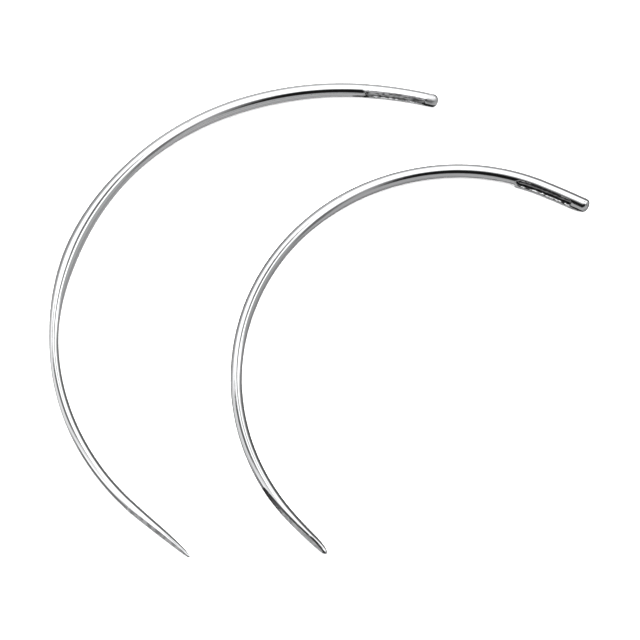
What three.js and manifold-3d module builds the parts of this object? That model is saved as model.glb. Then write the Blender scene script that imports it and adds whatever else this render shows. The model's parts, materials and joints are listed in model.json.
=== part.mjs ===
// A set of two curved hand-sewing needles, a large one and a small one, lying loose on a table.
// Each needle is one piece of steel wire: turned straight, spread at the head, pierced with a long
// eye between two thread gutters, ground to a cutting point and then bent into a bow.
// Millimetres, +Z up. The origin is on the table, under the middle of the set.

import * as THREE from 'three';
import { ConvexHull } from 'three/addons/math/ConvexHull.js';
import { mergeVertices } from 'three/addons/utils/BufferGeometryUtils.js';
import Module from 'manifold-3d';

const wasm = await Module();
wasm.setup();

// Lengths along the wire are measured from the butt end, the blunt end behind the eye.
// From butt to tip the wire has five runs, each with its own bend radius.
// Its diameter changes smoothly over five spans, each with the diameter that it ends on.
// The eye's middle line lies off the wire's axis, towards the lower rail, by eyeOffset.
const LARGE = {
  heading: THREE.MathUtils.degToRad(164.5), // way the wire leaves the butt end
  headRun: 6.5,
  headBend: 35,
  shankRun: 13,
  shankBend: 28.7,
  bowRun: 26.2,
  bowBend: 25.2,
  bladeRun: 23,
  bladeBend: 23.7,
  tipRun: 7.3,
  tipBend: 137,
  buttDiameter: 1.22,
  shankSpan: 18,
  shankDiameter: 1.36,
  neckSpan: 12,
  neckDiameter: 1.24,
  shoulderSpan: 10.5,
  shoulderDiameter: 1.46,
  waistSpan: 10.5,
  waistDiameter: 0.86,
  bladeSpan: 11,
  bladeDiameter: 0.96,
  buttRounding: 0.43,
  eyeSetback: 1.2,
  eyeLength: 5.7,
  eyeWidth: 0.58,
  eyeOffset: 0.01,
  railSpread: 0.06,
  buttSpread: 0.04,
  gutterLength: 6.1,
  gutterWidth: 0.7,
  gutterDepth: 0.16,
  pointLength: 4.4,
  grindLength: 7.3,
  grindRemainder: 0.12,
};

const SMALL = {
  heading: THREE.MathUtils.degToRad(151.6),
  headRun: 4.6,
  headBend: 81,
  shankRun: 9.8,
  shankBend: 18.7,
  bowRun: 19.7,
  bowBend: 20.3,
  bladeRun: 25.8,
  bladeBend: 21.6,
  tipRun: 5,
  tipBend: 40,
  buttDiameter: 1.21,
  shankSpan: 24,
  shankDiameter: 1.25,
  neckSpan: 6,
  neckDiameter: 1.165,
  shoulderSpan: 6,
  shoulderDiameter: 1.15,
  waistSpan: 10,
  waistDiameter: 1.045,
  bladeSpan: 12,
  bladeDiameter: 1.03,
  buttRounding: 0.42,
  eyeSetback: 1.6,
  eyeLength: 5.55,
  eyeWidth: 0.45,
  eyeOffset: 0.06,
  railSpread: 0.36,
  buttSpread: 0.14,
  gutterLength: 6,
  gutterWidth: 0.56,
  gutterDepth: 0.12,
  pointLength: 2.2,
  grindLength: 7.2,
  grindRemainder: 0.225,
};

// How both needles are made
const EYE_ROLL = THREE.MathUtils.degToRad(64); // eye axis, from upright towards the inside of the bow
const RAIL_STEP = 0.25; // length over which the spread rail runs out into the shank
const GRIND_ROLL = THREE.MathUtils.degToRad(12); // each ground flat, from outward to up or down
const OVERCUT = 1.25; // cutters run past the metal by this share of their length

// How the set lies
const TOP_STEP = 8.78; // the small needle's far edge lies this much nearer than the large one's
const SIDE_GAP = 10.07; // least sideways gap between the wires, level for level
const LEVEL_BAND = 1.6; // spots count as level within this

// Bright plate on both needles
const LARGE_COLOUR = 0xcfd2d4;
const SMALL_COLOUR = 0xc8cbce;
const PLATE_ROUGHNESS = 0.15;

// Fineness of the facets
const AROUND = 24;
const RING_STEP = 1.6;
const ROUNDING_STEPS = 4;
const POINT_STEPS = 9;
const CUTTER_STEPS = 8;
const MERGE_DISTANCE = 1e-6;

const UP = new THREE.Vector3(0, 0, 1);

function bendsOf(needle) {
  return [
    { run: needle.headRun, radius: needle.headBend },
    { run: needle.shankRun, radius: needle.shankBend },
    { run: needle.bowRun, radius: needle.bowBend },
    { run: needle.bladeRun, radius: needle.bladeBend },
    { run: needle.tipRun, radius: needle.tipBend },
  ];
}

function swellsOf(needle) {
  return [
    { span: needle.shankSpan, diameter: needle.shankDiameter },
    { span: needle.neckSpan, diameter: needle.neckDiameter },
    { span: needle.shoulderSpan, diameter: needle.shoulderDiameter },
    { span: needle.waistSpan, diameter: needle.waistDiameter },
    { span: needle.bladeSpan, diameter: needle.bladeDiameter },
  ];
}

function wireLength(needle) {
  return bendsOf(needle).reduce((sum, bend) => sum + bend.run, 0);
}

function smooth(t) {
  const c = THREE.MathUtils.clamp(t, 0, 1);
  return c * c * (3 - 2 * c);
}

// Radius of the round wire at a length s, before the head is spread and the point is ground
function radiusAt(needle, s) {
  let diameter = needle.buttDiameter;
  let start = 0;
  for (const swell of swellsOf(needle)) {
    diameter = THREE.MathUtils.lerp(diameter, swell.diameter, smooth((s - start) / swell.span));
    start += swell.span;
  }
  const intoPoint = Math.max(0, 1 - (wireLength(needle) - s) / needle.pointLength);
  return (diameter / 2) * Math.sqrt(Math.max(0, 1 - intoPoint * intoPoint));
}

// Half profile of the straight wire, from the middle of the flat butt end to the tip
function wireProfile(needle) {
  const length = wireLength(needle);
  const rounding = needle.buttRounding;
  const eyeEnd = needle.eyeSetback + needle.eyeLength;
  const buttRadius = radiusAt(needle, rounding);
  const profile = [new THREE.Vector2(0, 0)];
  for (let i = 0; i <= ROUNDING_STEPS; i += 1) {
    const a = ((i / ROUNDING_STEPS) * Math.PI) / 2;
    const r = buttRadius - rounding * (1 - Math.sin(a));
    profile.push(new THREE.Vector2(r, rounding * (1 - Math.cos(a))));
  }
  const stops = [rounding, eyeEnd, eyeEnd + RAIL_STEP, length - needle.pointLength];
  for (let i = 1; i < stops.length; i += 1) {
    const count = Math.ceil((stops[i] - stops[i - 1]) / RING_STEP) + (i === 2 ? 1 : 0);
    for (let k = 1; k <= count; k += 1) {
      const s = THREE.MathUtils.lerp(stops[i - 1], stops[i], k / count);
      profile.push(new THREE.Vector2(radiusAt(needle, s), s));
    }
  }
  for (let i = 1; i < POINT_STEPS; i += 1) {
    const along = Math.sin(((i / POINT_STEPS) * Math.PI) / 2);
    const s = length - needle.pointLength * (1 - along);
    profile.push(new THREE.Vector2(radiusAt(needle, s), s));
  }
  profile.push(new THREE.Vector2(0, length));
  return profile;
}

// How far the punch pushes the lower rail out at a length s
function railPush(needle, s) {
  const eyeEnd = needle.eyeSetback + needle.eyeLength;
  const beforeShank = 1 - smooth((s - eyeEnd) / RAIL_STEP);
  const { buttSpread, railSpread } = needle;
  return beforeShank * THREE.MathUtils.lerp(buttSpread, railSpread, smooth(s / needle.eyeSetback));
}

// In the straight needle x points to the outside of the bow, y along the wire and z up.
// The lower rail lies beside the eye, on the inside of the bow.
function spreadHead(needle, point) {
  const fullPush = railPush(needle, point.y);
  if (fullPush === 0) return point;
  const acrossX = Math.cos(EYE_ROLL);
  const acrossZ = Math.sin(EYE_ROLL);
  const radius = radiusAt(needle, Math.max(point.y, needle.buttRounding));
  const towardsLowerRail = Math.max(0, -(point.x * acrossX + point.z * acrossZ) / radius);
  const push = fullPush * towardsLowerRail;
  point.x -= push * acrossX;
  point.z -= push * acrossZ;
  return point;
}

// Middle line of the bow at a length s: its place and heading in the needle's plane
function bowAt(needle, s) {
  const bends = bendsOf(needle);
  let x = 0;
  let y = 0;
  let angle = needle.heading;
  let left = s;
  bends.forEach((bend, i) => {
    const run = i < bends.length - 1 ? Math.min(left, bend.run) : left;
    const turn = run / bend.radius;
    x += bend.radius * (Math.sin(angle + turn) - Math.sin(angle));
    y -= bend.radius * (Math.cos(angle + turn) - Math.cos(angle));
    angle += turn;
    left -= run;
  });
  return { x, y, angle };
}

// Carries a point of the straight needle to its place on the bow
function bendPoint(needle, point) {
  const middle = bowAt(needle, point.y);
  const outward = point.x;
  point.x = middle.x + outward * Math.sin(middle.angle);
  point.y = middle.y - outward * Math.cos(middle.angle);
  return point;
}

function movePoints(geometry, move) {
  const positions = geometry.attributes.position;
  const point = new THREE.Vector3();
  for (let i = 0; i < positions.count; i += 1) {
    move(point.fromBufferAttribute(positions, i));
    positions.setXYZ(i, point.x, point.y, point.z);
  }
  return geometry;
}

function toSolid(geometry) {
  geometry.deleteAttribute('normal');
  geometry.deleteAttribute('uv');
  const closed = mergeVertices(geometry, MERGE_DISTANCE);
  const corners = closed.index.array;
  const triangles = [];
  for (let i = 0; i < corners.length; i += 3) {
    const [a, b, c] = [corners[i], corners[i + 1], corners[i + 2]];
    if (a !== b && b !== c && c !== a) triangles.push(a, b, c);
  }
  return new wasm.Manifold(new wasm.Mesh({
    numProp: 3,
    vertProperties: new Float32Array(closed.attributes.position.array),
    triVerts: new Uint32Array(triangles),
  }));
}

function toGeometry(solid) {
  const mesh = solid.getMesh();
  const geometry = new THREE.BufferGeometry();
  geometry.setAttribute('position', new THREE.BufferAttribute(mesh.vertProperties, 3));
  geometry.setIndex(new THREE.BufferAttribute(mesh.triVerts, 1));
  return geometry;
}

// Slot with round ends that runs right through the head, in the straight needle
function eyeCutter(needle) {
  const half = needle.eyeWidth / 2;
  const reach = OVERCUT * (needle.buttDiameter / 2 + needle.railSpread);
  const near = needle.eyeSetback + half;
  const far = needle.eyeSetback + needle.eyeLength - half;
  const outline = new THREE.Shape();
  outline.absarc(0, near, half, Math.PI, 2 * Math.PI);
  for (let i = 1; i < CUTTER_STEPS; i += 1) {
    outline.lineTo(half, THREE.MathUtils.lerp(near, far, i / CUTTER_STEPS));
  }
  outline.absarc(0, far, half, 0, Math.PI);
  for (let i = CUTTER_STEPS - 1; i > 0; i -= 1) {
    outline.lineTo(-half, THREE.MathUtils.lerp(near, far, i / CUTTER_STEPS));
  }
  outline.closePath();
  const slot = new THREE.ExtrudeGeometry(outline, {
    depth: 2 * reach,
    bevelEnabled: false,
    curveSegments: CUTTER_STEPS,
  });
  return slot.translate(-needle.eyeOffset, 0, -reach).rotateY(-EYE_ROLL);
}

// Shallow scoop round the eye that leads the thread in, on the side of the head that side names
function gutterCutter(needle, side) {
  const middle = needle.eyeSetback + needle.eyeLength / 2;
  const face = radiusAt(needle, middle);
  const scoop = new THREE.SphereGeometry(1, 2 * CUTTER_STEPS, 2 * CUTTER_STEPS);
  scoop.scale(needle.gutterWidth / 2, needle.gutterLength / 2, needle.gutterDepth);
  return scoop.translate(-needle.eyeOffset, middle, side * face).rotateY(-EYE_ROLL);
}

// Block whose underside is one of the two ground flats, on the outside of the bow
function grindCutter(needle, side) {
  const length = wireLength(needle);
  const start = length - needle.grindLength;
  const radius = radiusAt(needle, Math.min(start, length - needle.pointLength));
  const dip = Math.atan2(radius - needle.grindRemainder, needle.grindLength);
  const diameter = 2 * radius;
  const reach = OVERCUT * needle.grindLength;
  const block = new THREE.BoxGeometry(2 * diameter, reach, diameter, 1, CUTTER_STEPS, 1);
  block.translate(0, reach / 2, diameter / 2).rotateX(-dip);
  return block.translate(0, start, radius).rotateY(Math.PI / 2 - side * GRIND_ROLL);
}

function needleSolid(needle) {
  const bend = (geometry) => movePoints(geometry, (point) => bendPoint(needle, point));
  const wire = new THREE.LatheGeometry(wireProfile(needle), AROUND);
  movePoints(wire, (point) => spreadHead(needle, point));
  let solid = toSolid(bend(wire));
  const cutters = [eyeCutter(needle)];
  for (const side of [1, -1]) cutters.push(gutterCutter(needle, side), grindCutter(needle, side));
  for (const cutter of cutters) solid = solid.subtract(toSolid(bend(cutter)));
  return toGeometry(solid);
}

// Weighs the wedge between the origin and each triangle
function massCentre(geometry) {
  const points = geometry.attributes.position;
  const corners = geometry.index.array;
  const centre = new THREE.Vector3();
  let volume = 0;
  for (let i = 0; i < corners.length; i += 3) {
    const [a, b, c] = [0, 1, 2].map((k) => new THREE.Vector3().fromBufferAttribute(points, corners[i + k]));
    const wedge = a.dot(new THREE.Vector3().crossVectors(b, c));
    centre.addScaledVector(a.add(b).add(c), wedge / 4);
    volume += wedge;
  }
  return centre.divideScalar(volume);
}

// A loose needle rests on the face of its convex hull that lies straight under its centre of mass
function settle(mesh) {
  const centre = massCentre(mesh.geometry);
  let shortestFall = Infinity;
  let underside = null;
  for (const face of new ConvexHull().setFromObject(mesh).faces) {
    if (face.normal.z < 0) {
      const fall = face.distanceToPoint(centre) / face.normal.z;
      if (fall < shortestFall) {
        shortestFall = fall;
        underside = face.normal;
      }
    }
  }
  mesh.quaternion.setFromUnitVectors(underside.clone().negate(), UP);
  mesh.position.z = -boxOf(mesh).min.z;
}

function boxOf(object) {
  object.updateMatrixWorld(true);
  return new THREE.Box3().setFromObject(object, true);
}

// Slides the small needle beside the large one, clear of it at every level
function layBeside(large, small) {
  small.position.y += boxOf(large).max.y - TOP_STEP - boxOf(small).max.y;
  small.updateMatrixWorld(true);
  const places = (mesh) => {
    const positions = mesh.geometry.attributes.position;
    const found = [];
    for (let i = 0; i < positions.count; i += 1) {
      found.push(new THREE.Vector3().fromBufferAttribute(positions, i).applyMatrix4(mesh.matrixWorld));
    }
    return found;
  };
  const smallPlaces = places(small);
  let shift = -Infinity;
  for (const p of places(large)) {
    for (const q of smallPlaces) {
      if (Math.abs(p.y - q.y) < LEVEL_BAND) shift = Math.max(shift, p.x + SIDE_GAP - q.x);
    }
  }
  small.position.x += shift;
}

function needleMesh(name, needle, color) {
  const plate = new THREE.MeshStandardMaterial({ color, metalness: 1, roughness: PLATE_ROUGHNESS });
  const mesh = new THREE.Mesh(needleSolid(needle), plate);
  mesh.name = name;
  settle(mesh);
  return mesh;
}

const largeNeedle = needleMesh('large_needle', LARGE, LARGE_COLOUR);
const smallNeedle = needleMesh('small_needle', SMALL, SMALL_COLOUR);
layBeside(largeNeedle, smallNeedle);

const needleSet = new THREE.Group();
needleSet.add(largeNeedle, smallNeedle);
const setBox = boxOf(needleSet);
const setMiddle = setBox.getCenter(new THREE.Vector3());
needleSet.position.set(-setMiddle.x, -setMiddle.y, -setBox.min.z);
needleSet.updateMatrixWorld(true);

export default needleSet;
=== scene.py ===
# %% [markdown]
# # Two curved sewing needles
# The object is a loose set: a large and a small curved needle of bright plated steel on a pale table.
# The frame holds each needle as a plain faceted solid, at its real size and in its place.
# Here each needle is made again as a fine mesh in the same place, and then plated, lit and photographed.

# %% Load the frame
import json
import math
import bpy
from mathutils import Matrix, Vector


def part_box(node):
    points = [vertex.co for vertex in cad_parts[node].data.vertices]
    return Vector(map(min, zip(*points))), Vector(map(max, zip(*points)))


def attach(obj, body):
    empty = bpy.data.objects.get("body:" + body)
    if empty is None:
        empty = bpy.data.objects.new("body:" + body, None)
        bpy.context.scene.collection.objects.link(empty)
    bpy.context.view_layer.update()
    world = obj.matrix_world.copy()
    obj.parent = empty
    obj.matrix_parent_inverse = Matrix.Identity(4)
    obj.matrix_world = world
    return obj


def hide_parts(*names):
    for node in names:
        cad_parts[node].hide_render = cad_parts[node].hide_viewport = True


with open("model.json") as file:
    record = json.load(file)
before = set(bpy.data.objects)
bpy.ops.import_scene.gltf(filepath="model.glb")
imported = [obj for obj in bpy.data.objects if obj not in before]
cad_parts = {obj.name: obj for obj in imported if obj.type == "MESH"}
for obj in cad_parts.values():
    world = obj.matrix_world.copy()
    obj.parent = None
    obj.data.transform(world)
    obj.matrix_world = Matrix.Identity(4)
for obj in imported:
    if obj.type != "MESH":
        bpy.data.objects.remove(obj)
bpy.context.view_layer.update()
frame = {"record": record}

from types import SimpleNamespace

import bmesh
import bpy
from mathutils import Matrix, Vector, noise
from mathutils.geometry import intersect_point_tri_2d

MM = 0.001
scene = bpy.context.scene


# %% [markdown]
# ## The camera
# The photograph looks down on the table at a steep slant, from far enough away that nearer and farther
# parts of the set come out almost equally large. A long lens at a modest distance does the same.
# The lens is worked out from what one pixel of the picture covers on the table, so the scale is right.

# %% Camera
ELEVATION = math.radians(64)
DISTANCE = 300 * MM
TARGET = Vector((-0.175, -0.843, 0.75)) * MM
PIXEL_COVERS = 0.0909471 * MM
PICTURE_PIXELS = 640
SENSOR = 36.0
CLIP_START = 10 * MM

camera = bpy.data.objects.new("camera", bpy.data.cameras.new("camera"))
scene.collection.objects.link(camera)
camera.location = TARGET + DISTANCE * Vector((0, -math.cos(ELEVATION), math.sin(ELEVATION)))
camera.rotation_euler = (math.pi / 2 - ELEVATION, 0, 0)
camera.data.sensor_width = SENSOR
camera.data.lens = SENSOR * DISTANCE / (PICTURE_PIXELS * PIXEL_COVERS)
camera.data.clip_start = CLIP_START
scene.camera = camera
print("lens in mm:", round(camera.data.lens, 2))

# %% [markdown]
# ## The sizes of the needles
# A needle is one length of wire. Its sizes are kept in millimetres, measured along the straight wire
# from the butt, the blunt end behind the eye. Each bend is a run of wire and the radius it is bent to,
# and each swell is a span of wire and the diameter it ends on, from the butt to the tip.
# The sizes from the eye's wear on are what making and use left on each needle, apart from the shade spots,
# and the plain solids go without them. A shade spot is a patch of painted shade at an end of the eye: its
# place and half its size along the wire, then the same across the eye.

# %% Sizes
large = SimpleNamespace(
    name="large_needle",
    butt_mount="large_butt_face",
    slot="large_plated_steel",
    heading=math.radians(164.5),
    bends=((6.5, 35), (13, 28.7), (26.2, 25.2), (23, 23.7), (7.3, 137)),
    butt_diameter=1.22,
    swells=((18, 1.36), (12, 1.24), (10.5, 1.46), (10.5, 0.86), (11, 0.96)),
    butt_rounding=0.54,
    eye_setback=1.2,
    eye_length=5.7,
    eye_width=0.58,
    eye_offset=0.01,
    rail_spread=0.06,
    butt_spread=0.04,
    gutter_length=6.1,
    gutter_width=0.7,
    gutter_depth=0.16,
    point_length=4.4,
    grind_length=7.3,
    grind_remainder=0.12,
    eye_wear=0.04,
    scallop=0.02,
    lip=0.045,
    flat_run_out=0.0,
    flat_lean=math.radians(12),
    flat_rounding=0.04,
    dull_butt=1.0,
    shade_spots=((0.8, 0.85, -0.28, 0.2), (7.35, 0.95, -0.35, 0.18)),
)
small = SimpleNamespace(
    name="small_needle",
    butt_mount="small_butt_face",
    slot="small_plated_steel",
    heading=math.radians(151.6),
    bends=((4.6, 81), (9.8, 18.7), (19.7, 20.3), (25.8, 21.6), (5, 40)),
    butt_diameter=1.21,
    swells=((24, 1.25), (6, 1.165), (6, 1.15), (10, 1.045), (12, 1.03)),
    butt_rounding=0.47,
    eye_setback=1.6,
    eye_length=5.55,
    eye_width=0.45,
    eye_offset=0.06,
    rail_spread=0.36,
    butt_spread=0.14,
    gutter_length=6,
    gutter_width=0.56,
    gutter_depth=0.12,
    point_length=2.2,
    grind_length=7.2,
    grind_remainder=0.225,
    eye_wear=0.17,
    scallop=0.04,
    lip=0.0,
    flat_run_out=1.2,
    flat_lean=math.radians(19),
    flat_rounding=0.1,
    dull_butt=0.0,
    shade_spots=((0.95, 0.85, -0.43, 0.13),),
)
for needle in (large, small):
    needle.length = sum(run for run, bend in needle.bends)
    needle.eye_end = needle.eye_setback + needle.eye_length
    needle.flat_length = needle.grind_length + needle.flat_run_out
    needle.eye_half = (needle.eye_width + needle.eye_wear) / 2
    needle.eye_middle = -needle.eye_offset - needle.eye_wear / 2
    print(needle.name, "is", round(needle.length, 1), "mm along its curve")

# %% [markdown]
# ## The straight wire
# A needle starts as straight wire, so it is turned first and bent last, as in the workshop.
# Half of its outline is drawn as a chain of points and spun once round the wire's axis, like work on a lathe.
# The points stand close together at the head and the point, where the wire is shaped further.
# In the straight wire x points to the outside of the later bow, y runs along the wire and z points up.

# %% Outline of the straight wire
AROUND = 90
HEAD_STEP = 0.05
HEAD_RUN_OUT = 0.75
SHANK_STEP = 0.28
POINT_STEP = 0.1
ROUNDING_STEPS = 12
TIP_STEPS = 36
TOUCH = 1e-5
ALONG = Vector((0, 1, 0))


def ease(share):
    """Goes smoothly from 0 to 1 as the share does, and stays there outside that range."""
    held = min(max(share, 0.0), 1.0)
    return held * held * (3 - 2 * held)


def radius_at(needle, along):
    diameter = needle.butt_diameter
    start = 0.0
    for span, end_diameter in needle.swells:
        diameter += (end_diameter - diameter) * ease((along - start) / span)
        start += span
    into_point = max(0.0, 1 - (needle.length - along) / needle.point_length)
    return diameter / 2 * math.sqrt(max(0.0, 1 - into_point ** 2))


def steps_between(start, end, step):
    count = math.ceil((end - start) / step)
    return [start + (end - start) * i / count for i in range(1, count + 1)]


def wire_outline(needle):
    rounding = needle.butt_rounding
    butt_radius = radius_at(needle, rounding)
    outline = [(0.0, 0.0)]
    for i in range(ROUNDING_STEPS + 1):
        turn = math.pi / 2 * i / ROUNDING_STEPS
        outline.append((butt_radius - rounding * (1 - math.sin(turn)), rounding * (1 - math.cos(turn))))
    head_end = needle.eye_end + HEAD_RUN_OUT
    grind_start = needle.length - needle.flat_length
    point_start = needle.length - needle.point_length
    places = steps_between(rounding, head_end, HEAD_STEP)
    places += steps_between(head_end, grind_start, SHANK_STEP)
    places += steps_between(grind_start, point_start, POINT_STEP)
    for i in range(1, TIP_STEPS):
        places.append(point_start + needle.point_length * math.sin(math.pi / 2 * i / TIP_STEPS))
    outline += [(radius_at(needle, along), along) for along in places]
    outline.append((0.0, needle.length))
    return outline


def turn_wire(needle):
    bm = bmesh.new()
    chain = [bm.verts.new((radius, along, 0)) for radius, along in wire_outline(needle)]
    links = [bm.edges.new(pair) for pair in zip(chain, chain[1:])]
    bmesh.ops.spin(bm, geom=chain + links, cent=(0, 0, 0), axis=ALONG, angle=math.tau, steps=AROUND,
                   use_merge=True)
    bmesh.ops.remove_doubles(bm, verts=bm.verts, dist=TOUCH)
    bmesh.ops.recalc_face_normals(bm, faces=bm.faces)
    print(needle.name, "straight wire:", len(bm.faces), "faces")
    return bm


# %% [markdown]
# ## The head
# The eye is punched through the wire at a slant. The punch pushes the rail on its lower side outwards, and
# a shallow gutter on each face leads the thread into the eye. On the face that is seen, the punch also
# raised a low lip along the upper rim of the large needle's eye. All of this only moves the turned vertices.
# From here on, "across" is a place on the line across the eye, which is below zero towards the lower rail.

# %% Head
EYE_ROLL = math.radians(64)
ACROSS = Vector((math.cos(EYE_ROLL), 0, math.sin(EYE_ROLL)))
THROUGH = Vector((-math.sin(EYE_ROLL), 0, math.cos(EYE_ROLL)))
RAIL_STEP = 0.25
LIP_REACH = 0.35


def rail_push(needle, along):
    before_shank = 1 - ease((along - needle.eye_end) / RAIL_STEP)
    past_butt = ease(along / needle.eye_setback)
    return before_shank * (needle.butt_spread + (needle.rail_spread - needle.butt_spread) * past_butt)


def spread_head(bm, needle):
    for vert in bm.verts:
        push = rail_push(needle, vert.co.y)
        towards_rail = min(0.0, vert.co.dot(ACROSS))
        if push * towards_rail < 0:
            radius = radius_at(needle, max(vert.co.y, needle.butt_rounding))
            vert.co += push * towards_rail / radius * ACROSS


def gutter_floor(needle, across, along):
    middle = needle.eye_setback + needle.eye_length / 2
    sideways = (across + needle.eye_offset) / (needle.gutter_width / 2)
    lengthways = (along - middle) / (needle.gutter_length / 2)
    inside = 1 - sideways ** 2 - lengthways ** 2
    if inside <= 0:
        return math.inf
    return radius_at(needle, middle) - needle.gutter_depth * math.sqrt(inside)


def press_gutters(bm, needle):
    pressed = 0
    for vert in bm.verts:
        depth = vert.co.dot(THROUGH)
        floor = gutter_floor(needle, vert.co.dot(ACROSS), vert.co.y)
        if abs(depth) > floor:
            vert.co += (math.copysign(floor, depth) - depth) * THROUGH
            pressed += 1
    print(needle.name, "gutters: pressed in", pressed, "vertices")


def lip_at(needle, across, along):
    upper_rim = needle.eye_middle + needle.eye_half
    before = ease((along - needle.eye_setback + LIP_REACH) / LIP_REACH)
    after = ease((needle.eye_end + LIP_REACH - along) / LIP_REACH)
    return needle.lip * before * after * max(0.0, 1 - abs(across - upper_rim) / LIP_REACH) ** 2


def raise_lip(bm, needle):
    for vert in bm.verts:
        if vert.co.dot(THROUGH) > 0:
            vert.co += lip_at(needle, vert.co.dot(ACROSS), vert.co.y) * THROUGH


def head_height(needle, across, along):
    """How far the spread and pressed head reaches from the wire's axis, in the way of the punch."""
    radius = radius_at(needle, max(along, needle.butt_rounding))
    half_width = radius + (rail_push(needle, along) if across < 0 else 0.0)
    height = radius * math.sqrt(max(0.0, 1 - (across / half_width) ** 2))
    return min(height, gutter_floor(needle, across, along))


# %% [markdown]
# ## The eye
# The eye is a long slot with round ends. Its thread has worn the lower rail away a little, so it is punched
# wider than it was made. The faces inside its outline are deleted on both sides, the two rims are drawn
# onto the outline, and bridge_loops builds the wall between them. A boolean would leave long, badly shaded
# faces round the rims.

# %% Eye
WALL_ROWS = 13


def from_slot(needle, place):
    """Way from the eye's middle line to a place, and the length along the wire where that line is nearest."""
    half = needle.eye_half
    along = min(max(place.y, needle.eye_setback + half), needle.eye_end - half)
    return Vector((place.dot(ACROSS) - needle.eye_middle, place.y - along)), along


def punch_eye(bm, needle):
    half = needle.eye_half
    waste = [face for face in bm.faces if from_slot(needle, face.calc_center_median())[0].length < half]
    bmesh.ops.delete(bm, geom=waste, context="FACES")
    rims = [edge for edge in bm.edges if edge.is_boundary]
    for vert in {vert for edge in rims for vert in edge.verts}:
        way, along = from_slot(needle, vert.co)
        way *= half / way.length
        across = way.x + needle.eye_middle
        along += way.y
        height = head_height(needle, across, along)
        if vert.co.dot(THROUGH) > 0:
            height += lip_at(needle, across, along)
        else:
            height *= -1
        vert.co = across * ACROSS + along * ALONG + height * THROUGH
    wall = bmesh.ops.bridge_loops(bm, edges=rims)["faces"]
    cross_edges = {edge for face in wall for edge in face.edges} - set(rims)
    bmesh.ops.subdivide_edges(bm, edges=list(cross_edges), cuts=WALL_ROWS, use_grid_fill=True)
    print(needle.name, "eye rims:", len(rims), "edges, wall:", len(wall) * (WALL_ROWS + 1), "faces")


# %% [markdown]
# ## Worn rims, painted shade and the dull butt
# Polish and thread have worn the rims round, the lower one most, so smooth_vert softens the vertices near
# them. The punch has left the wall a little wavy, which a noise moves in and out.
# Dark patches of painted shade go at the ends of the eyes, and the large needle's blunt end is left dull.
# Each vertex keeps how deep it lies in the eye and how much painted shade or dullness it has, and the
# finishes read that.

# %% Worn rims
LOWER_RIM = 0.26
UPPER_RIM = 0.08
RIM_ROUNDS = 50
RIM_SMOOTHING = 0.5
SCALLOP_LENGTH = 0.33
FAR_OUTSIDE = -1.0
DULL_END = 0.85
DULL_FADE = 0.35


def soften_eye(bm, needle):
    half = needle.eye_half
    inside = bm.verts.layers.float.new("inside_eye")
    for vert in bm.verts:
        vert[inside] = FAR_OUTSIDE
    near_rim = []
    head = [vert for vert in bm.verts if vert.co.y < needle.eye_end + LOWER_RIM]
    for vert in head:
        way, _ = from_slot(needle, vert.co)
        across = vert.co.dot(ACROSS)
        top = head_height(needle, across, vert.co.y) + lip_at(needle, across, vert.co.y)
        below = top - vert.co.dot(THROUGH)
        if abs(way.length - half) < TOUCH:
            vert[inside] = max(0.0, below)
        elif way.x < 0 and below < LOWER_RIM:
            vert[inside] = half - way.length
        reach = LOWER_RIM if way.x < 0 else UPPER_RIM
        if half - TOUCH < way.length < half + reach and below < reach:
            near_rim.append(vert)
    for _ in range(RIM_ROUNDS):
        bmesh.ops.smooth_vert(bm, verts=near_rim, factor=RIM_SMOOTHING,
                              use_axis_x=True, use_axis_y=True, use_axis_z=True)
    bm.normal_update()
    wavy = set(near_rim) | {vert for vert in head if vert[inside] > 0}
    moves = {}
    for vert in wavy:
        way, _ = from_slot(needle, vert.co)
        fade = 1 - ease((way.length - half) / LOWER_RIM)
        ripple = noise.noise(vert.co / SCALLOP_LENGTH)
        moves[vert] = needle.scallop * fade * ripple * vert.normal
    for vert, move in moves.items():
        vert.co += move
    print(needle.name, "softened", len(near_rim), "vertices round the eye")


# Painted shade: dark patches at the ends of the eyes, kept on each vertex as a share.
def keep_painted_eye_shade(bm, needle):
    scale = bm.verts.layers.float.new("painted_eye_shade")
    dull = bm.verts.layers.float.new("dull_butt")
    for vert in bm.verts:
        vert[dull] = needle.dull_butt * (1 - ease((vert.co.y - DULL_END) / DULL_FADE))
        if vert.co.dot(THROUGH) > 0:
            for along, half_length, across, half_width in needle.shade_spots:
                lengthways = (vert.co.y - along) / half_length
                sideways = (vert.co.dot(ACROSS) - across) / half_width
                vert[scale] = max(vert[scale], 1 - math.hypot(lengthways, sideways))
    print(needle.name, "keeps scale on", sum(vert[scale] > 0 for vert in bm.verts), "vertices")


# %% [markdown]
# ## The point
# The point is ground on the outside of the bow with two flats that meet in a ridge, so it cuts.
# The metal beyond each flat goes in towards the wire's axis until it lies on the flat. Cutting it off and
# filling the hole would leave one huge face, which couldn't follow the bow later. Polishing has rounded
# the edges of the flats, most on the small needle, so a soft minimum joins each flat to the round wire.
# Each vertex keeps how deep the flat lies under it and how far inside the flat's edge it is.

# %% Point
GRIND_ROLL = math.radians(12)
FLAT_RUN_IN = 2.0


def soft_min(first, second, rounding):
    """The smaller of two distances, with the corner between them rounded off."""
    share = min(max(0.5 + 0.5 * (second - first) / rounding, 0.0), 1.0)
    return second + (first - second) * share - rounding * share * (1 - share)


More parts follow.
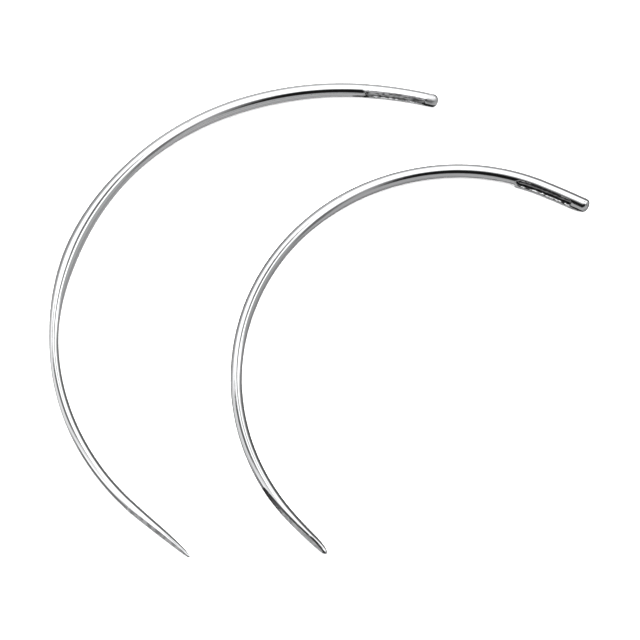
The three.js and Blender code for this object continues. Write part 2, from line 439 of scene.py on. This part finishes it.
def grind_point(bm, needle):
    cut = bm.verts.layers.float.new("ground_depth")
    edge = bm.verts.layers.float.new("flat_edge")
    for vert in bm.verts:
        vert[cut] = FAR_OUTSIDE
        vert[edge] = FAR_OUTSIDE
    start = needle.length - needle.flat_length
    radius = radius_at(needle, min(start, needle.length - needle.point_length))
    slope = (radius - needle.grind_remainder) / needle.flat_length
    roll = GRIND_ROLL + needle.flat_lean
    blade = [vert for vert in bm.verts if vert.co.y > start]
    for side in (1, -1):
        facing = Vector((math.cos(roll), 0, side * math.sin(roll)))
        for vert in blade:
            reach = vert.co.dot(facing)
            if reach > TOUCH:
                from_axis = math.hypot(vert.co.x, vert.co.z)
                past_start = vert.co.y - start
                level = radius - slope * past_start
                flat = level * from_axis / reach
                rounding = max(TOUCH, needle.flat_rounding * ease(past_start / FLAT_RUN_IN))
                worn = soft_min(from_axis, flat, rounding) / from_axis
                vert[cut] = max(vert[cut], from_axis - flat)
                if level < from_axis:
                    within = math.acos(level / from_axis) - math.acos(min(1.0, reach / from_axis))
                    vert[edge] = max(vert[edge], from_axis * within)
                vert.co.x *= worn
                vert.co.z *= worn
    print(needle.name, "flats reach", round(max(vert[cut] for vert in blade), 3), "mm into the wire")


# %% [markdown]
# ## The bow
# The finished straight needle is bent along five arcs, each with its own radius. A Simple Deform modifier
# has only one radius, so each vertex is carried to its place on the bow by a small function. Before that,
# each vertex keeps its place on the straight wire, so that the finishes can be laid out along it.
# A loose needle then stands on three points round its centre of mass. The search starts with three feet in
# the air, and the point that lies deepest under their plane takes the place of one, until none lies deeper.

# %% Bow
UPWARDS = Vector((0, 0, 1))


def keep_straight(bm):
    straight = bm.verts.layers.float_vector.new("straight")
    for vert in bm.verts:
        vert[straight] = vert.co


def bow_at(needle, along):
    """Place on the bow and the wire's direction there; the last bend goes on as far as it is needed."""
    x = 0.0
    y = 0.0
    angle = needle.heading
    last = len(needle.bends) - 1
    for i, (run, bend) in enumerate(needle.bends):
        used = min(along, run) if i < last else along
        turn = used / bend
        x += bend * (math.sin(angle + turn) - math.sin(angle))
        y -= bend * (math.cos(angle + turn) - math.cos(angle))
        angle += turn
        along -= used
    return x, y, angle


def bend_into_bow(bm, needle):
    for vert in bm.verts:
        x, y, angle = bow_at(needle, vert.co.y)
        outward = vert.co.x
        vert.co.x = x + outward * math.sin(angle)
        vert.co.y = y - outward * math.cos(angle)


def mass_centre(bm):
    centre = Vector()
    volume = 0.0
    for loops in bm.calc_loop_triangles():
        first, second, third = (loop.vert.co for loop in loops)
        wedge = first.dot(second.cross(third))
        centre += (first + second + third) * wedge / 4
        volume += wedge
    return centre / volume


def underside_of(points, centre, far):
    """Upward normal of the plane through the three points that a loose needle stands on."""
    turns = [math.tau * i / 3 for i in range(3)]
    feet = [centre + far * Vector((math.cos(turn), math.sin(turn), 1)) for turn in turns]
    while True:
        up = (feet[1] - feet[0]).cross(feet[2] - feet[0]).normalized()
        up *= math.copysign(1, up.z)
        lowest = min(points, key=lambda point: point.dot(up))
        if (lowest - feet[0]).dot(up) > -TOUCH:
            return up
        swaps = [feet[:i] + [lowest] + feet[i + 1:] for i in range(3)]
        feet = next(swap for swap in swaps if intersect_point_tri_2d(centre.xy, *(foot.xy for foot in swap)))


def lay_down(bm, needle):
    up = underside_of([vert.co.copy() for vert in bm.verts], mass_centre(bm), needle.length)
    turn = up.rotation_difference(UPWARDS).to_matrix()
    bmesh.ops.rotate(bm, verts=bm.verts, cent=(0, 0, 0), matrix=turn)
    mount = next(m for m in frame["record"]["mounts"] if m["name"] == needle.butt_mount)
    lowest = min(vert.co.z for vert in bm.verts)
    butt = Vector(mount["pos_m"]) / MM
    bmesh.ops.translate(bm, verts=bm.verts, vec=(butt.x, butt.y, -lowest))
    bmesh.ops.scale(bm, verts=bm.verts, vec=(MM, MM, MM))
    print(needle.name, "leans by", round(math.degrees(up.angle(UPWARDS)), 2), "degrees")


# %% [markdown]
# ## The two needles
# Each needle is made by the same steps in the same order and takes the place of its plain solid.
# It is shaded smooth, except along the edges where two finished surfaces meet at a clear angle.

# %% Needles
SHARP_ANGLE = math.radians(18)


def make_needle(needle):
    bm = turn_wire(needle)
    spread_head(bm, needle)
    press_gutters(bm, needle)
    raise_lip(bm, needle)
    punch_eye(bm, needle)
    soften_eye(bm, needle)
    keep_painted_eye_shade(bm, needle)
    grind_point(bm, needle)
    bmesh.ops.recalc_face_normals(bm, faces=bm.faces)
    keep_straight(bm)
    bend_into_bow(bm, needle)
    lay_down(bm, needle)
    for face in bm.faces:
        face.smooth = True
    for edge in bm.edges:
        edge.smooth = edge.calc_face_angle(0.0) < SHARP_ANGLE
    mesh = bpy.data.meshes.new(needle.name + "_plated")
    bm.to_mesh(mesh)
    bm.free()
    piece = bpy.data.objects.new(needle.name + "_plated", mesh)
    scene.collection.objects.link(piece)
    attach(piece, needle.name)
    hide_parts(needle.name)
    low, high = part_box(needle.name)
    corners = [piece.matrix_world @ Vector(corner) for corner in piece.bound_box]
    print(piece.name, len(mesh.polygons), "faces; box differs by (mm):",
          [round((min(c[i] for c in corners) - low[i]) / MM, 3) for i in range(3)],
          [round((max(c[i] for c in corners) - high[i]) / MM, 3) for i in range(3)])
    return piece


large_piece = make_needle(large)
small_piece = make_needle(small)

# %% [markdown]
# ## Building blocks for the finishes
# Every finish here is worked out by shader nodes on the wire's own measure, in millimetres, which each
# vertex kept before it was bent. So a mark that runs along the wire follows it round the bow.
# What more than one material needs is a node group with named inputs and outputs.

# %% Node helpers
def add(tree, kind, **settings):
    node = tree.nodes.new(kind)
    for name, value in settings.items():
        setattr(node, name, value)
    return node


def feed(tree, socket, value):
    if isinstance(value, bpy.types.NodeSocket):
        tree.links.new(value, socket)
    else:
        socket.default_value = value


def math_node(tree, operation, *values):
    node = add(tree, "ShaderNodeMath", operation=operation)
    for socket, value in zip(node.inputs, values):
        feed(tree, socket, value)
    return node.outputs[0]


def dot_product(tree, first, second):
    node = add(tree, "ShaderNodeVectorMath", operation="DOT_PRODUCT")
    feed(tree, node.inputs[0], first)
    feed(tree, node.inputs[1], second)
    return node.outputs["Value"]


def between(tree, value, low, high):
    """Goes smoothly from 0 at low to 1 at high."""
    node = add(tree, "ShaderNodeMapRange", interpolation_type="SMOOTHSTEP")
    feed(tree, node.inputs["Value"], value)
    feed(tree, node.inputs["From Min"], low)
    feed(tree, node.inputs["From Max"], high)
    return node.outputs["Result"]


def band(tree, value, start, end):
    """Rises smoothly over the start, a pair of values, and falls again over the end."""
    return math_node(tree, "MULTIPLY", between(tree, value, *start), between(tree, value, *end))


def mix_value(tree, share, first, second):
    node = add(tree, "ShaderNodeMix", data_type="FLOAT")
    feed(tree, node.inputs["Factor"], share)
    feed(tree, node.inputs["A"], first)
    feed(tree, node.inputs["B"], second)
    return node.outputs["Result"]


# %% [markdown]
# ## Groups and grain
# A node group is a small machine with its own sockets, made once and placed wherever it is wanted.
# The marks in the metal come from noise that is stretched along the wire or across it. Its grain is given
# as steps per millimetre across the wire, steps per millimetre along it, and how fine the detail goes.

# %% Group helpers
VECTOR = "NodeSocketVector"
VALUE = "NodeSocketFloat"


def new_group(name, inputs, outputs):
    tree = bpy.data.node_groups.new(name, "ShaderNodeTree")
    for socket, kind in inputs.items():
        tree.interface.new_socket(socket, in_out="INPUT", socket_type=kind)
    for socket, kind in outputs.items():
        tree.interface.new_socket(socket, in_out="OUTPUT", socket_type=kind)
    return tree, add(tree, "NodeGroupInput").outputs, add(tree, "NodeGroupOutput").inputs


def place_group(tree, group, inputs, label=""):
    node = add(tree, "ShaderNodeGroup", node_tree=group, label=label)
    for name, value in inputs.items():
        feed(tree, node.inputs[name], value)
    return node.outputs


def noise_along(tree, place, grain):
    across, along, detail = grain
    stretch = add(tree, "ShaderNodeVectorMath", operation="MULTIPLY")
    feed(tree, stretch.inputs[0], place)
    stretch.inputs[1].default_value = (across, along, across)
    texture = add(tree, "ShaderNodeTexNoise")
    feed(tree, texture.inputs["Vector"], stretch.outputs["Vector"])
    texture.inputs["Scale"].default_value = 1.0
    texture.inputs["Detail"].default_value = detail
    return texture.outputs["Fac"]


# %% [markdown]
# ## The drawn plate
# Drawing the wire through its die leaves fine lines along it, and polishing leaves the plate gently wavy,
# which makes every reflected line waver. Here and there a spot of the plate has gone dull.
# Heights come out in millimetres, so a value can be compared with the real depth of such a mark.

# %% Drawn plate
WAVE_GRAIN = (1.5, 1.1, 2.0)
LINE_GRAIN = (13.0, 0.35, 1.0)
SPOT_GRAIN = (2.6, 1.3, 3.0)
SPOT_EDGE = (0.66, 0.8)


def drawn_plate_group():
    tree, given, result = new_group(
        "drawn_plate",
        {"Place": VECTOR, "Wave Height": VALUE, "Line Height": VALUE},
        {"Height": VALUE, "Dull Spots": VALUE})
    waves = noise_along(tree, given["Place"], WAVE_GRAIN)
    lines = noise_along(tree, given["Place"], LINE_GRAIN)
    spots = noise_along(tree, given["Place"], SPOT_GRAIN)
    wave_height = math_node(tree, "MULTIPLY", waves, given["Wave Height"])
    height = math_node(tree, "MULTIPLY_ADD", lines, given["Line Height"], wave_height)
    tree.links.new(height, result["Height"])
    tree.links.new(between(tree, spots, *SPOT_EDGE), result["Dull Spots"])
    return tree


DRAWN_PLATE = drawn_plate_group()
print("made the group", DRAWN_PLATE.name)

# %% [markdown]
# ## The ground flats
# A ground flat has short marks across it and a mottled satin shine, which ends raggedly where the flat runs
# out. On the small needle a painted dark reflection runs along the edge of the flat, and a fainter one where
# the flat begins. The painted line is broken here and there, as the mottle is.

# %% Ground flat
MARK_GRAIN = (2.0, 9.0, 2.0)
PATCH_GRAIN = (2.4, 2.0, 3.0)
MOTTLE_EDGE = (0.38, 0.62)
SATIN_RAGGEDNESS = 0.1
SATIN_FADE = 0.08
# Where the painted dark reflection along the flat's edge rises and falls, and how it is broken.
EDGE_LINE_START = (-0.1, -0.05)
EDGE_LINE_END = (0.1, 0.05)
RUN_IN_START = (-0.01, 0.005)
RUN_IN_END = (0.06, 0.03)
RUN_IN_SHADE = 0.55
EDGE_LINE_BREAKS = (0.2, 0.45)


def ground_flat_group():
    tree, given, result = new_group(
        "ground_flat",
        {"Place": VECTOR, "Depth": VALUE, "Within Edge": VALUE, "Satin Depth": VALUE, "Mark Height": VALUE,
         "Painted Edge Line": VALUE},
        {"Height": VALUE, "Mottle": VALUE, "Ground": VALUE, "Dark Edge": VALUE})
    marks = noise_along(tree, given["Place"], MARK_GRAIN)
    patches = noise_along(tree, given["Place"], PATCH_GRAIN)
    tree.links.new(math_node(tree, "MULTIPLY", marks, given["Mark Height"]), result["Height"])
    tree.links.new(between(tree, patches, *MOTTLE_EDGE), result["Mottle"])
    ragged = math_node(tree, "MULTIPLY_ADD", patches, SATIN_RAGGEDNESS, given["Depth"])
    satin_full = math_node(tree, "ADD", given["Satin Depth"], SATIN_FADE)
    tree.links.new(between(tree, ragged, given["Satin Depth"], satin_full), result["Ground"])
    # Painted dark reflection: a line along the flat's edge and a fainter one where the flat begins.
    edge_line = band(tree, given["Within Edge"], EDGE_LINE_START, EDGE_LINE_END)
    run_in = band(tree, given["Depth"], RUN_IN_START, RUN_IN_END)
    faint = math_node(tree, "MULTIPLY", run_in, RUN_IN_SHADE)
    painted_edge_line = math_node(tree, "MULTIPLY", math_node(tree, "MAXIMUM", edge_line, faint), given["Painted Edge Line"])
    broken = math_node(tree, "MULTIPLY", painted_edge_line, between(tree, patches, *EDGE_LINE_BREAKS))
    tree.links.new(broken, result["Dark Edge"])
    return tree


GROUND_FLAT = ground_flat_group()
print("made the group", GROUND_FLAT.name)

# %% [markdown]
# ## The punched wall
# The wall of the eye is painted with shade, darker than the plate, and it is streaked in the way of the
# punch.
# The painted shade begins raggedly below the rim. In the small needle's eye a lighter band runs along the
# middle of the wall and wanders a little up and down.

# %% Punched wall
STREAK_GRAIN = (5.0, 3.2, 3.0)
WALL_PATCH_GRAIN = (3.4, 1.6, 3.0)
NOTCH_GRAIN = (1.6, 2.2, 2.0)
STREAK_HEIGHT = 0.03
WALL_PATCH_EDGE = (0.36, 0.66)
SHADE_FADE = 0.1
BAND_WANDER = 0.12
BAND_START = (-0.12, -0.06)
BAND_END = (0.13, 0.05)


def punched_wall_group():
    tree, given, result = new_group(
        "punched_wall",
        {"Place": VECTOR, "Depth": VALUE, "Shade Depth": VALUE, "Raggedness": VALUE, "Lighter Band": VALUE},
        {"Height": VALUE, "Inside": VALUE, "Scale": VALUE})
    streaks = noise_along(tree, given["Place"], STREAK_GRAIN)
    patches = noise_along(tree, given["Place"], WALL_PATCH_GRAIN)
    notches = noise_along(tree, given["Place"], NOTCH_GRAIN)
    tree.links.new(math_node(tree, "MULTIPLY", streaks, STREAK_HEIGHT), result["Height"])
    # Painted shade: the wall darkens below the rim, past the shade depth, with a ragged start.
    ragged = math_node(tree, "MULTIPLY_ADD", notches, given["Raggedness"], given["Depth"])
    shade_full = math_node(tree, "ADD", given["Shade Depth"], SHADE_FADE)
    tree.links.new(between(tree, ragged, given["Shade Depth"], shade_full), result["Inside"])
    up_the_wall = dot_product(tree, given["Place"], THROUGH)
    wander = math_node(tree, "MULTIPLY_ADD", streaks, BAND_WANDER, up_the_wall)
    bright = math_node(tree, "MULTIPLY", band(tree, wander, BAND_START, BAND_END), given["Lighter Band"])
    # Share of the darker painted shade on the wall: random patches, or nearly all the wall where a lighter
    # band is asked for, less along that band.
    dark = math_node(tree, "SUBTRACT", 1.0, bright)
    wall_shade_share = math_node(tree, "MAXIMUM", between(tree, patches, *WALL_PATCH_EDGE), given["Lighter Band"])
    tree.links.new(math_node(tree, "MULTIPLY", wall_shade_share, dark), result["Scale"])
    return tree


PUNCHED_WALL = punched_wall_group()
print("made the group", PUNCHED_WALL.name)

# %% [markdown]
# ## The plated steel
# Both needles are bright nickel plate over drawn steel, and the small one is a little greyer and wavier.
# One material holds all the finishes, laid over each other in this order: plate all over, satin on the
# ground flats with a painted dark reflection along their edges, painted shade at the ends of the eyes, and
# painted shade on the wall of the eye. Metal darkens a little towards its outline before it brightens, which
# Blender sets with the specular tint; on the small needle the tint is so low that the outline comes out dark,
# as painted shade.

# %% Plated steel
LINE_HEIGHT = 0.0003
MARK_HEIGHT = 0.004
DULL_COLOUR = (0.55, 0.55, 0.56, 1)
# Colour of the painted dark reflection along the ground flats' edges.
PAINTED_EDGE_LINE_COLOUR = (0.07, 0.07, 0.072, 1)
# Colour of the painted shade at the ends of the eyes.
PAINTED_SHADE_COLOUR = (0.025, 0.025, 0.026, 1)
PAINTED_SHADE_FADE = 0.25
SPOT_ROUGHENING = 0.2
BUTT_ROUGHNESS = 0.42
SATIN_ROUGHNESS = 0.5
WALL_ROUGHNESS = 0.35


def new_material(name):
    material = bpy.data.materials.new(name)
    material.use_nodes = True
    return material, material.node_tree, material.node_tree.nodes["Principled BSDF"]


def kept(tree, name, output="Fac"):
    """What the vertices kept under this name."""
    return add(tree, "ShaderNodeAttribute", attribute_name=name).outputs[output]


def mix_colour(tree, share, first, second):
    """A mix node has sockets for every kind of data: the colours are inputs 6 and 7 and output 2."""
    node = add(tree, "ShaderNodeMix", data_type="RGBA")
    feed(tree, node.inputs["Factor"], share)
    feed(tree, node.inputs[6], first)
    feed(tree, node.inputs[7], second)
    return node.outputs[2]


def plated_steel(needle, colour, edge_tint, roughness, wave_height, flat_colours, flat_marks_and_edge_line, wall_shade_colours,
                 wall_shade_settings):
    material, tree, shader = new_material(needle.slot)
    place = kept(tree, "straight", "Vector")
    plate = place_group(tree, DRAWN_PLATE, {
        "Place": place, "Wave Height": wave_height, "Line Height": LINE_HEIGHT})
    flat = place_group(tree, GROUND_FLAT, {
        "Place": place, "Depth": kept(tree, "ground_depth"), "Within Edge": kept(tree, "flat_edge"),
        "Mark Height": MARK_HEIGHT, **flat_marks_and_edge_line})
    wall = place_group(tree, PUNCHED_WALL, {
        "Place": place, "Depth": kept(tree, "inside_eye"), **wall_shade_settings})

    plate_colour = mix_colour(tree, plate["Dull Spots"], colour, DULL_COLOUR)
    flat_colour = mix_colour(tree, flat["Mottle"], *flat_colours)
    ground_colour = mix_colour(tree, flat["Ground"], plate_colour, flat_colour)
    # Painted dark reflection along the edge of the ground flat.
    edge_lined_colour = mix_colour(tree, flat["Dark Edge"], ground_colour, PAINTED_EDGE_LINE_COLOUR)
    # Painted shade: dark patches at the ends of the eyes.
    scale = between(tree, kept(tree, "painted_eye_shade"), 0.0, PAINTED_SHADE_FADE)
    outer_colour = mix_colour(tree, scale, edge_lined_colour, PAINTED_SHADE_COLOUR)
    # Painted shade in the eye: the wall colours replace the plate where the wall lies deep enough.
    wall_colour = mix_colour(tree, wall["Scale"], *wall_shade_colours)
    feed(tree, shader.inputs["Base Color"], mix_colour(tree, wall["Inside"], outer_colour, wall_colour))

    plate_rough = mix_value(tree, plate["Dull Spots"], roughness, roughness + SPOT_ROUGHENING)
    head_rough = mix_value(tree, kept(tree, "dull_butt"), plate_rough, BUTT_ROUGHNESS)
    outer_rough = mix_value(tree, flat["Ground"], head_rough, SATIN_ROUGHNESS)
    feed(tree, shader.inputs["Roughness"], mix_value(tree, wall["Inside"], outer_rough, WALL_ROUGHNESS))

    outer_height = mix_value(tree, flat["Ground"], plate["Height"], flat["Height"])
    bump = add(tree, "ShaderNodeBump")
    bump.inputs["Distance"].default_value = MM
    feed(tree, bump.inputs["Height"], mix_value(tree, wall["Inside"], outer_height, wall["Height"]))
    feed(tree, shader.inputs["Normal"], bump.outputs["Normal"])
    shader.inputs["Metallic"].default_value = 1.0
    # The specular tint darkens the metal's outline; the small needle's low tint makes it dark, as painted
    # shade.
    shader.inputs["Specular Tint"].default_value = (edge_tint, edge_tint, edge_tint, 1)
    return material


large_steel = plated_steel(
    large,
    colour=(0.75, 0.755, 0.765, 1),
    edge_tint=0.6,
    roughness=0.06,
    wave_height=0.004,
    flat_colours=((0.5, 0.5, 0.51, 1), (0.9, 0.9, 0.91, 1)),
    flat_marks_and_edge_line={"Satin Depth": -0.04, "Painted Edge Line": 0.0},
    # The wall colours are painted shade in the eye.
    wall_shade_colours=((0.62, 0.62, 0.63, 1), (0.1, 0.1, 0.104, 1)),
    wall_shade_settings={"Shade Depth": 0.16, "Raggedness": 0.12, "Lighter Band": 0.0},
)
small_steel = plated_steel(
    small,
    colour=(0.69, 0.695, 0.705, 1),
    # A near-black edge tint: painted shade along the small needle's outline.
    edge_tint=0.05,
    roughness=0.07,
    wave_height=0.007,
    flat_colours=((0.7, 0.7, 0.71, 1), (0.96, 0.96, 0.97, 1)),
    flat_marks_and_edge_line={"Satin Depth": 0.1, "Painted Edge Line": 1.0},
    wall_shade_colours=((0.5, 0.5, 0.51, 1), (0.04, 0.04, 0.042, 1)),
    wall_shade_settings={"Shade Depth": 0.35, "Raggedness": 0.56, "Lighter Band": 0.95},
)
large_piece.data.materials.append(large_steel)
small_piece.data.materials.append(small_steel)
print("plated:", [piece.name for piece in (large_piece, small_piece)])

# %% [markdown]
# ## A soft panel
# Real panels far away and a world that shows them in the same directions look alike on a small mirror.
# So a panel of the studio is only a mask in the world's colour: a rectangle of directions, measured as
# angles to each side of the way it hangs in, with edges that fade over its softness.

# %% Soft panel
def soft_panel_group():
    tree, given, result = new_group(
        "soft_panel",
        {"Direction": VECTOR, "Facing": VECTOR, "Sideways": VECTOR, "Upwards": VECTOR,
         "Half Width": VALUE, "Half Height": VALUE, "Softness": VALUE},
        {"Mask": VALUE})

    def along(axis):
        return dot_product(tree, given["Direction"], given[axis])

    def edge(angle, half):
        inner = math_node(tree, "MULTIPLY_ADD", given["Softness"], -0.5, given[half])
        outer = math_node(tree, "MULTIPLY_ADD", given["Softness"], 0.5, given[half])
        return between(tree, math_node(tree, "ABSOLUTE", angle), outer, inner)

    width = edge(math_node(tree, "ARCTAN2", along("Sideways"), along("Facing")), "Half Width")
    height = edge(math_node(tree, "ARCSINE", along("Upwards")), "Half Height")
    tree.links.new(math_node(tree, "MULTIPLY", width, height), result["Mask"])
    return tree


SOFT_PANEL = soft_panel_group()
print("made the group", SOFT_PANEL.name)

# %% [markdown]
# ## The studio
# Bright metal shows little but what surrounds it, so the studio is most of the picture. It is a grey room
# with large soft white panels overhead, at the back and to the left and right. The gaps between them make
# the thin grey lines along the wires, and the dark side of the room behind the camera makes the black one.
# Low down hang darker boards, which tone the sides of the wires. Each panel is laid over the ones before it.

# %% Studio
DOME_LOW = 0.55
DOME_HIGH = 0.45
PANELS = (
    # name, azimuth, from zenith, roll, half width, half height and softness in degrees, level of light
    ("under", 90, 154, 0, 30, 30, 24, 0.32),
    ("overhead", 90, 14, -6, 49, 26, 18, 1.9),
    ("back_low", 90, 88, 0, 28, 22, 16, 0.68),
    ("back_left", 138, 34, -18, 64, 24, 28, 1.7),
    ("left", 172, 72, -6, 14, 42, 16, 1.0),
    ("right", 37, 36, -25, 5, 43, 12, 1.9),
    ("left_gap", 157, 40, 26, 8, 18, 7, 0.18),
    ("right_gap", 45, 25, -10, 14, 7, 6, 0.15),
    ("left_low", 131, 98, 0, 16, 9, 10, 0.28),
    ("right_low", 0, 108, 0, 24, 18, 16, 0.38),
    ("left_front_low", -163, 105, 0, 13, 17, 12, 0.12),
    ("camera_side", -108, 57, 34, 41, 25, 15, 0.01),
    ("front_low", -62, 131, 0, 22, 10, 14, 0.38),
    ("back_right", 53, 84, -39, 16, 35, 18, 0.12),
    ("front_right", -31, 66, 12, 9, 22, 10, 0.2),
)


def spin(degrees, axis):
    return Matrix.Rotation(math.radians(degrees), 3, axis)


def hang_panel(tree, direction, name, azimuth, tilt, roll, width, height, softness):
    turn = spin(azimuth, "Z") @ spin(tilt, "Y") @ spin(roll, "Z")
    panel = place_group(tree, SOFT_PANEL, {
        "Direction": direction,
        "Facing": turn @ Vector((0, 0, 1)),
        "Sideways": turn @ Vector((0, 1, 0)),
        "Upwards": turn @ Vector((-1, 0, 0)),
        "Half Width": math.radians(width),
        "Half Height": math.radians(height),
        "Softness": math.radians(softness),
    }, label=name)
    return panel["Mask"]


def build_studio():
    world = bpy.data.worlds.new("studio")
    world.use_nodes = True
    scene.world = world
    tree = world.node_tree
    direction = add(tree, "ShaderNodeTexCoord").outputs["Generated"]
    split = add(tree, "ShaderNodeSeparateXYZ")
    tree.links.new(direction, split.inputs[0])
    light = mix_value(tree, between(tree, split.outputs["Z"], -1, 1), DOME_LOW, DOME_HIGH)
    for *panel, level in PANELS:
        light = mix_value(tree, hang_panel(tree, direction, *panel), light, level)
    tree.links.new(light, tree.nodes["Background"].inputs["Color"])
    print("studio panels:", len(PANELS))


build_studio()
scene.view_settings.view_transform = "Standard"

# %% [markdown]
# ## The table
# The table is plain and almost white. A broad light above it keeps it bright and its shadows faint. The
# light doesn't show in the metal, and neither does the table: under the needles the metal shows the grey
# room instead, as it would on a dull grey board, so the wires stand out against the white.

# %% Table
TABLE_SIZE = 2.0
TABLE_COLOUR = (0.92, 0.92, 0.92, 1)
TABLE_ROUGHNESS = 0.9
LIGHT_SIZE = 1.6
LIGHT_HEIGHT = 0.9
LIGHT_POWER = 45.0

table_bm = bmesh.new()
bmesh.ops.create_grid(table_bm, x_segments=1, y_segments=1, size=TABLE_SIZE / 2)
table_mesh = bpy.data.meshes.new("table")
table_bm.to_mesh(table_mesh)
table_bm.free()
table = bpy.data.objects.new("table", table_mesh)
scene.collection.objects.link(table)
table.visible_glossy = False
table_material, _, table_shader = new_material("pale_table")
table_shader.inputs["Base Color"].default_value = TABLE_COLOUR
table_shader.inputs["Roughness"].default_value = TABLE_ROUGHNESS
table_shader.inputs["Specular IOR Level"].default_value = 0.0
table_mesh.materials.append(table_material)

lamp = bpy.data.objects.new("table_light", bpy.data.lights.new("table_light", "AREA"))
lamp.data.shape = "SQUARE"
lamp.data.size = LIGHT_SIZE
lamp.data.energy = LIGHT_POWER
lamp.location = (0, 0, LIGHT_HEIGHT)
lamp.visible_glossy = False
scene.collection.objects.link(lamp)
print("table:", TABLE_SIZE, "m wide, lit from", LIGHT_HEIGHT, "m above")
